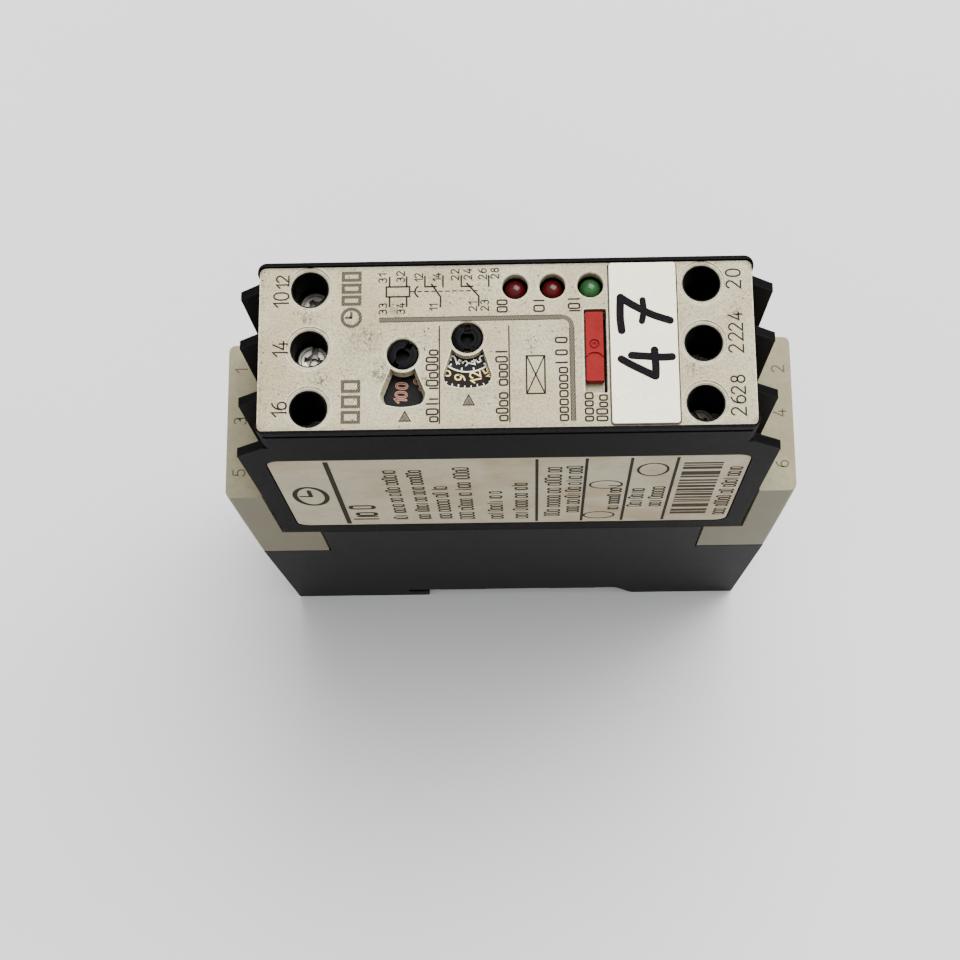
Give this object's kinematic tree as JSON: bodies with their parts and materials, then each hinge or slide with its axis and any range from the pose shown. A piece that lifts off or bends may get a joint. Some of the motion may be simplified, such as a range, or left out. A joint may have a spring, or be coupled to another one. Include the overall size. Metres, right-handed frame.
{
  "type": "din rail timer",
  "caption": "Narrow rail-mounted timer: black case, grey terminal covers, beige front with screw terminals, lamps, two setting dials, a red slide and a marker plate.",
  "frame": {"origin": "centre of the bounding box's bottom: the plane of the rear feet, z = 0", "axes": "+Z out of the front; X along the mounted height, its top at -X and the rail latch at +X; Y across the 22.5 mm width, the rating label on -Y"},
  "size_m": [0.0802, 0.0226, 0.1043],
  "materials": {
    "black_plastic": "matte",
    "grey_plastic": "matte",
    "front_plastic": "matte",
    "marker_plastic": "matte",
    "label_foil": "satin",
    "red_plastic": "satin",
    "knob_plastic": "satin",
    "dial_plastic": "matte",
    "lamp_red": "polished",
    "lamp_green": "polished",
    "plated_steel": "polished",
    "plated_brass": "satin",
    "board_laminate": "satin",
    "part_plastic": "satin",
    "relay_case": "satin",
    "transformer_core": "matte",
    "spring_steel": "polished"
  },
  "bodies": {
    "case": {"base_housing": "black_plastic", "upper_housing": "black_plastic", "cover_left": "grey_plastic", "cover_right": "grey_plastic", "front_plate": "front_plastic", "marker_plate": "marker_plastic", "rating_label": "label_foil", "led_1": "lamp_red", "led_2": "lamp_red", "led_3": "lamp_green", "front_board": "board_laminate", "main_board": "board_laminate", "relay": "relay_case", "transformer": "transformer_core", "range_switch": "part_plastic", "value_pot": "part_plastic", "selector_switch": "knob_plastic", "latch_spring": "spring_steel", "bar_u_l1": "plated_brass", "bar_l_l1": "plated_brass", "bar_u_l2": "plated_brass", "bar_l_l2": "plated_brass", "bar_u_l3": "plated_brass", "bar_l_l3": "plated_brass", "bar_u_r1": "plated_brass", "bar_l_r1": "plated_brass", "bar_u_r2": "plated_brass", "bar_l_r2": "plated_brass", "bar_u_r3": "plated_brass", "bar_l_r3": "plated_brass"},
    "selector": {"selector_slide": "red_plastic"},
    "range_control": {"range_knob": "knob_plastic", "range_dial": "dial_plastic"},
    "value_control": {"value_knob": "knob_plastic", "value_dial": "dial_plastic"},
    "latch": {"rail_latch": "red_plastic"},
    "clamp_u_l1": {"plate_u_l1": "plated_brass"},
    "screw_u_l1": {"screw_u_l1": "plated_steel"},
    "clamp_l_l1": {"plate_l_l1": "plated_brass"},
    "screw_l_l1": {"screw_l_l1": "plated_steel"},
    "clamp_u_l2": {"plate_u_l2": "plated_brass"},
    "screw_u_l2": {"screw_u_l2": "plated_steel"},
    "clamp_l_l2": {"plate_l_l2": "plated_brass"},
    "screw_l_l2": {"screw_l_l2": "plated_steel"},
    "clamp_u_l3": {"plate_u_l3": "plated_brass"},
    "screw_u_l3": {"screw_u_l3": "plated_steel"},
    "clamp_l_l3": {"plate_l_l3": "plated_brass"},
    "screw_l_l3": {"screw_l_l3": "plated_steel"},
    "clamp_u_r1": {"plate_u_r1": "plated_brass"},
    "screw_u_r1": {"screw_u_r1": "plated_steel"},
    "clamp_l_r1": {"plate_l_r1": "plated_brass"},
    "screw_l_r1": {"screw_l_r1": "plated_steel"},
    "clamp_u_r2": {"plate_u_r2": "plated_brass"},
    "screw_u_r2": {"screw_u_r2": "plated_steel"},
    "clamp_l_r2": {"plate_l_r2": "plated_brass"},
    "screw_l_r2": {"screw_l_r2": "plated_steel"},
    "clamp_u_r3": {"plate_u_r3": "plated_brass"},
    "screw_u_r3": {"screw_u_r3": "plated_steel"},
    "clamp_l_r3": {"plate_l_r3": "plated_brass"},
    "screw_l_r3": {"screw_l_r3": "plated_steel"}
  },
  "joints": [
    {"name": "selector_move", "type": "slide", "parent": "case", "child": "selector", "axis": [0, -1, 0], "range_m": [0, 0.0014]},
    {"name": "range_turn", "type": "hinge", "parent": "case", "child": "range_control", "pos_m": [-0.01289, -0.00093, 0.1035], "axis": [0, 0, 1], "range_deg": [-160, 80]},
    {"name": "value_turn", "type": "hinge", "parent": "case", "child": "value_control", "pos_m": [-0.00482, 0.00112, 0.1035], "axis": [0, 0, 1], "range_deg": [-146.5, 78.5]},
    {"name": "latch_release", "type": "slide", "parent": "case", "child": "latch", "axis": [1, 0, 0], "range_m": [0, 0.003], "stiffness_N_per_m": 1500, "springref_m": -0.002},
    {"name": "clamp_u_l1_travel", "type": "slide", "parent": "case", "child": "clamp_u_l1", "axis": [0, 0, 1], "range_m": [-0.0055, 0.0015]},
    {"name": "screw_u_l1_turn", "type": "hinge", "parent": "clamp_u_l1", "child": "screw_u_l1", "pos_m": [-0.02465, 0.00785, 0.095], "axis": [0, 0, 1], "range_deg": [-3990, 1110]},
    {"name": "clamp_l_l1_travel", "type": "slide", "parent": "case", "child": "clamp_l_l1", "axis": [0, 0, 1], "range_m": [-0.004, 0.001]},
    {"name": "screw_l_l1_turn", "type": "hinge", "parent": "clamp_l_l1", "child": "screw_l_l1", "pos_m": [-0.0339, 0.0073, 0.064], "axis": [0, 0, 1], "range_deg": [-2910, 750]},
    {"name": "clamp_u_l2_travel", "type": "slide", "parent": "case", "child": "clamp_u_l2", "axis": [0, 0, 1], "range_m": [-0.007, 0]},
    {"name": "screw_u_l2_turn", "type": "hinge", "parent": "clamp_u_l2", "child": "screw_u_l2", "pos_m": [-0.02465, 0, 0.0967], "axis": [0, 0, 1], "range_deg": [-5070, 30]},
    {"name": "clamp_l_l2_travel", "type": "slide", "parent": "case", "child": "clamp_l_l2", "axis": [0, 0, 1], "range_m": [-0.004, 0.001]},
    {"name": "screw_l_l2_turn", "type": "hinge", "parent": "clamp_l_l2", "child": "screw_l_l2", "pos_m": [-0.0339, 0, 0.064], "axis": [0, 0, 1], "range_deg": [-2910, 750]},
    {"name": "clamp_u_l3_travel", "type": "slide", "parent": "case", "child": "clamp_u_l3", "axis": [0, 0, 1], "range_m": [0, 0.007]},
    {"name": "screw_u_l3_turn", "type": "hinge", "parent": "clamp_u_l3", "child": "screw_u_l3", "pos_m": [-0.02465, -0.00785, 0.0896], "axis": [0, 0, 1], "range_deg": [-30, 5070]},
    {"name": "clamp_l_l3_travel", "type": "slide", "parent": "case", "child": "clamp_l_l3", "axis": [0, 0, 1], "range_m": [-0.004, 0.001]},
    {"name": "screw_l_l3_turn", "type": "hinge", "parent": "clamp_l_l3", "child": "screw_l_l3", "pos_m": [-0.0339, -0.0073, 0.064], "axis": [0, 0, 1], "range_deg": [-2910, 750]},
    {"name": "clamp_u_r1_travel", "type": "slide", "parent": "case", "child": "clamp_u_r1", "axis": [0, 0, 1], "range_m": [0, 0.007]},
    {"name": "screw_u_r1_turn", "type": "hinge", "parent": "clamp_u_r1", "child": "screw_u_r1", "pos_m": [0.02465, 0.00785, 0.0896], "axis": [0, 0, 1], "range_deg": [-30, 5070]},
    {"name": "clamp_l_r1_travel", "type": "slide", "parent": "case", "child": "clamp_l_r1", "axis": [0, 0, 1], "range_m": [-0.004, 0.001]},
    {"name": "screw_l_r1_turn", "type": "hinge", "parent": "clamp_l_r1", "child": "screw_l_r1", "pos_m": [0.0339, 0.0073, 0.064], "axis": [0, 0, 1], "range_deg": [-2910, 750]},
    {"name": "clamp_u_r2_travel", "type": "slide", "parent": "case", "child": "clamp_u_r2", "axis": [0, 0, 1], "range_m": [-0.0015, 0.0055]},
    {"name": "screw_u_r2_turn", "type": "hinge", "parent": "clamp_u_r2", "child": "screw_u_r2", "pos_m": [0.02465, 0, 0.091], "axis": [0, 0, 1], "range_deg": [-1110, 3990]},
    {"name": "clamp_l_r2_travel", "type": "slide", "parent": "case", "child": "clamp_l_r2", "axis": [0, 0, 1], "range_m": [-0.004, 0.001]},
    {"name": "screw_l_r2_turn", "type": "hinge", "parent": "clamp_l_r2", "child": "screw_l_r2", "pos_m": [0.0339, 0, 0.064], "axis": [0, 0, 1], "range_deg": [-2910, 750]},
    {"name": "clamp_u_r3_travel", "type": "slide", "parent": "case", "child": "clamp_u_r3", "axis": [0, 0, 1], "range_m": [-0.0025, 0.0045]},
    {"name": "screw_u_r3_turn", "type": "hinge", "parent": "clamp_u_r3", "child": "screw_u_r3", "pos_m": [0.02465, -0.00785, 0.0922], "axis": [0, 0, 1], "range_deg": [-1830, 3270]},
    {"name": "clamp_l_r3_travel", "type": "slide", "parent": "case", "child": "clamp_l_r3", "axis": [0, 0, 1], "range_m": [-0.004, 0.001]},
    {"name": "screw_l_r3_turn", "type": "hinge", "parent": "clamp_l_r3", "child": "screw_l_r3", "pos_m": [0.0339, -0.0073, 0.064], "axis": [0, 0, 1], "range_deg": [-2910, 750]}
  ],
  "couplings": [
    {"joint": "screw_u_l1_turn", "follows": "clamp_u_l1_travel", "rad_per_m": 12566},
    {"joint": "screw_l_l1_turn", "follows": "clamp_l_l1_travel", "rad_per_m": 12566},
    {"joint": "screw_u_l2_turn", "follows": "clamp_u_l2_travel", "rad_per_m": 12566},
    {"joint": "screw_l_l2_turn", "follows": "clamp_l_l2_travel", "rad_per_m": 12566},
    {"joint": "screw_u_l3_turn", "follows": "clamp_u_l3_travel", "rad_per_m": 12566},
    {"joint": "screw_l_l3_turn", "follows": "clamp_l_l3_travel", "rad_per_m": 12566},
    {"joint": "screw_u_r1_turn", "follows": "clamp_u_r1_travel", "rad_per_m": 12566},
    {"joint": "screw_l_r1_turn", "follows": "clamp_l_r1_travel", "rad_per_m": 12566},
    {"joint": "screw_u_r2_turn", "follows": "clamp_u_r2_travel", "rad_per_m": 12566},
    {"joint": "screw_l_r2_turn", "follows": "clamp_l_r2_travel", "rad_per_m": 12566},
    {"joint": "screw_u_r3_turn", "follows": "clamp_u_r3_travel", "rad_per_m": 12566},
    {"joint": "screw_l_r3_turn", "follows": "clamp_l_r3_travel", "rad_per_m": 12566}
  ]
}
